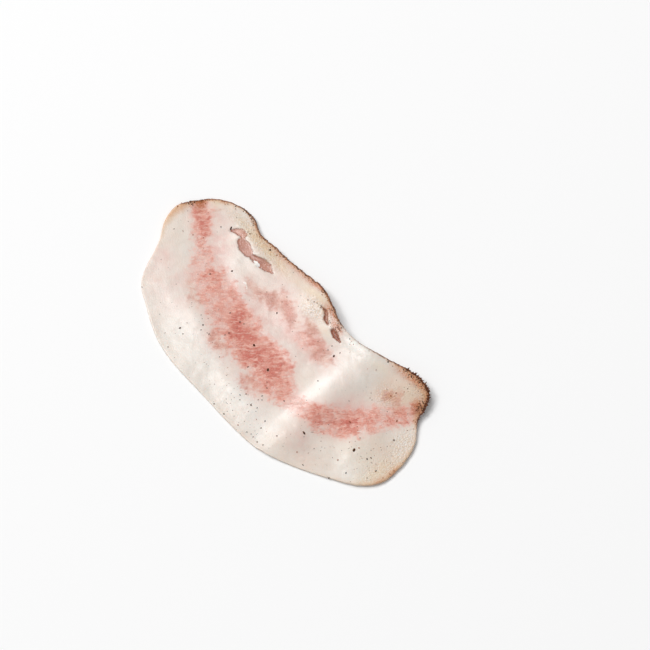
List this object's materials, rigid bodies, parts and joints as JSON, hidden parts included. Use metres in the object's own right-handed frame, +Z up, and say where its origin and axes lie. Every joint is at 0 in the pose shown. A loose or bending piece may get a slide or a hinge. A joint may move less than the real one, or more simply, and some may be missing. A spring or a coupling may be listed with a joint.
{
  "type": "guanciale slice",
  "caption": "Thin slice of cured pork jowl, white fat with a branching streak of pink lean and a peppered, browned edge, lying with soft waves.",
  "frame": {"origin": "centre of the slice's bounding box, on the surface it lies on", "axes": "+X along the slice towards its broad end, +Y across it towards the crusted edge, +Z up"},
  "size_m": [0.1612, 0.0888, 0.0064],
  "materials": {
    "cured_pork": "satin"
  },
  "bodies": {
    "root": {"guanciale_slice": "cured_pork"}
  },
  "joints": []
}
